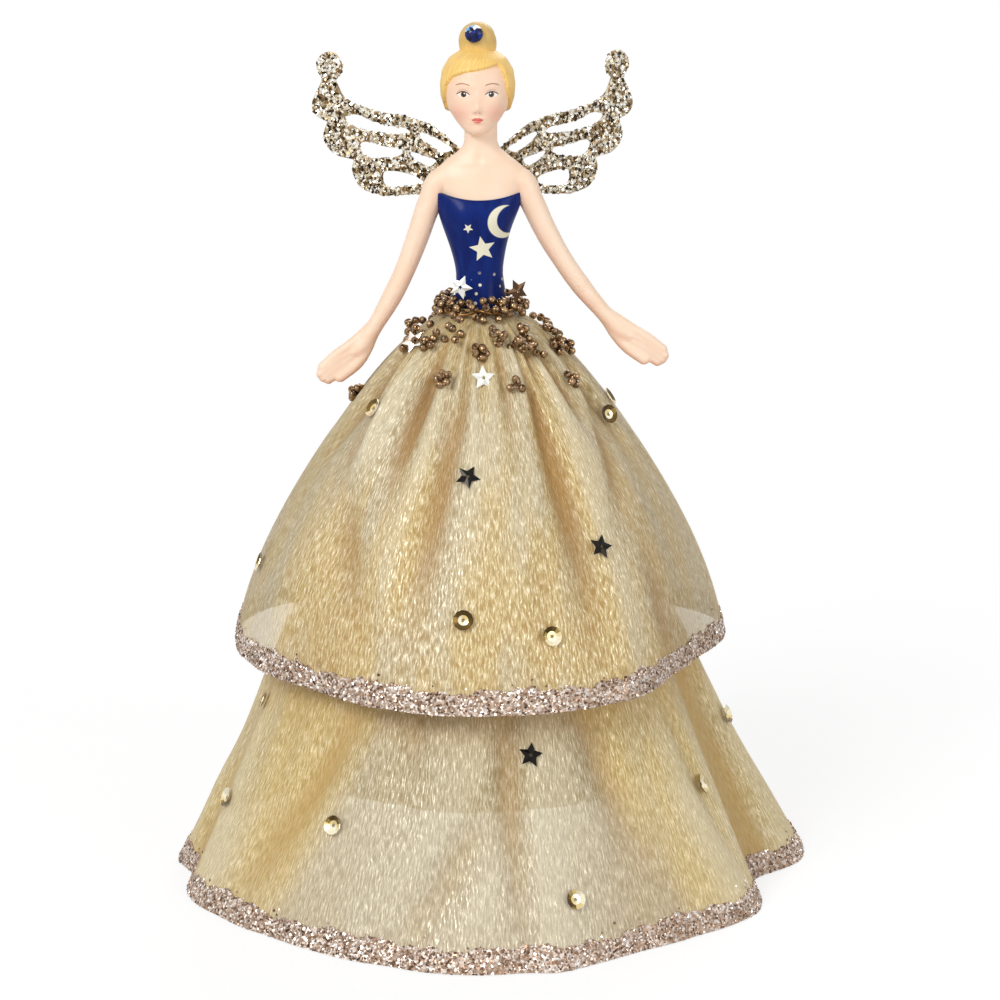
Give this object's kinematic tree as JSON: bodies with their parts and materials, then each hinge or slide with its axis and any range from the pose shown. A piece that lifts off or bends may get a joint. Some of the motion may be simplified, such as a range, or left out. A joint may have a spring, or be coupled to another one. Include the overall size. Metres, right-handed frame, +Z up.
{
  "type": "fairy tree topper",
  "caption": "Standing tree-top fairy: painted figure with cut-sheet glitter wings, a two-tier organza skirt with sequins, and a card cone inside that slips over a tree's top shoot.",
  "frame": {"origin": "centre of the part's box on the surface that the lower hem stands on", "axes": "+Z up the figure, -Y the way that it faces, +X to the viewer's right from the front"},
  "size_m": [0.1495, 0.1498, 0.2003],
  "materials": {
    "painted_resin": "satin hand-painted resin, with a gloss blue bodice and golden hair",
    "gem": "cut and foil-backed",
    "wing_glitter": "coarse champagne glitter on soft sheet metal",
    "card": "plain rolled card",
    "lining_cloth": "opaque gold lining",
    "organza": "sheer crinkled organza with gold thread",
    "hem_glitter": "rose-bronze glitter",
    "thread": "twisted sewing thread",
    "bead": "bronze lustre",
    "sequin_gold": "mirror foil",
    "sequin_dark": "dark bronze foil",
    "sequin_pale": "pale gold foil"
  },
  "bodies": {
    "fairy": {"card_cone": "card", "lining": "lining_cloth", "lower_tier": "organza", "lower_hem_trim": "hem_glitter", "upper_tier": "organza", "upper_hem_trim": "hem_glitter", "figure_casting": "painted_resin", "hair_gem": "gem", "wing_tab": "wing_glitter", "waist_tie": "thread", "waist_garland": "bead", "bead_cluster_1": "bead", "bead_cluster_2": "bead", "bead_cluster_3": "bead", "bead_cluster_4": "bead", "bead_cluster_5": "bead", "bead_cluster_6": "bead", "bead_cluster_7": "bead", "bead_cluster_8": "bead", "bead_cluster_9": "bead", "bead_cluster_10": "bead", "bead_cluster_11": "bead", "bead_cluster_12": "bead", "bead_cluster_13": "bead", "bead_cluster_14": "bead", "bead_cluster_15": "bead", "cup_sequin_1": "sequin_gold", "cup_sequin_2": "sequin_gold", "cup_sequin_3": "sequin_gold", "cup_sequin_4": "sequin_gold", "cup_sequin_5": "sequin_gold", "cup_sequin_6": "sequin_gold", "cup_sequin_7": "sequin_gold", "cup_sequin_8": "sequin_gold", "cup_sequin_9": "sequin_gold", "cup_sequin_10": "sequin_gold", "cup_sequin_11": "sequin_gold", "cup_sequin_12": "sequin_gold", "cup_sequin_13": "sequin_gold", "cup_sequin_14": "sequin_gold", "cup_sequin_15": "sequin_gold", "cup_sequin_16": "sequin_gold", "cup_sequin_17": "sequin_gold", "star_sequin_1": "sequin_dark", "star_sequin_2": "sequin_dark", "star_sequin_3": "sequin_dark", "star_sequin_4": "sequin_pale", "star_sequin_5": "sequin_pale", "star_sequin_6": "sequin_dark", "star_sequin_7": "sequin_dark", "garland_star_1": "sequin_pale", "garland_star_2": "sequin_dark"},
    "left_wing": {"left_wing": "wing_glitter"},
    "right_wing": {"right_wing": "wing_glitter"}
  },
  "joints": [
    {"name": "left_wing_bend", "type": "hinge", "parent": "fairy", "child": "left_wing", "pos_m": [-0.0033, 0.00583, 0.165], "axis": [0, 0, -1], "range_deg": [-26, 34]},
    {"name": "right_wing_bend", "type": "hinge", "parent": "fairy", "child": "right_wing", "pos_m": [0.0033, 0.00583, 0.165], "axis": [0, 0, 1], "range_deg": [-37, 23]}
  ]
}
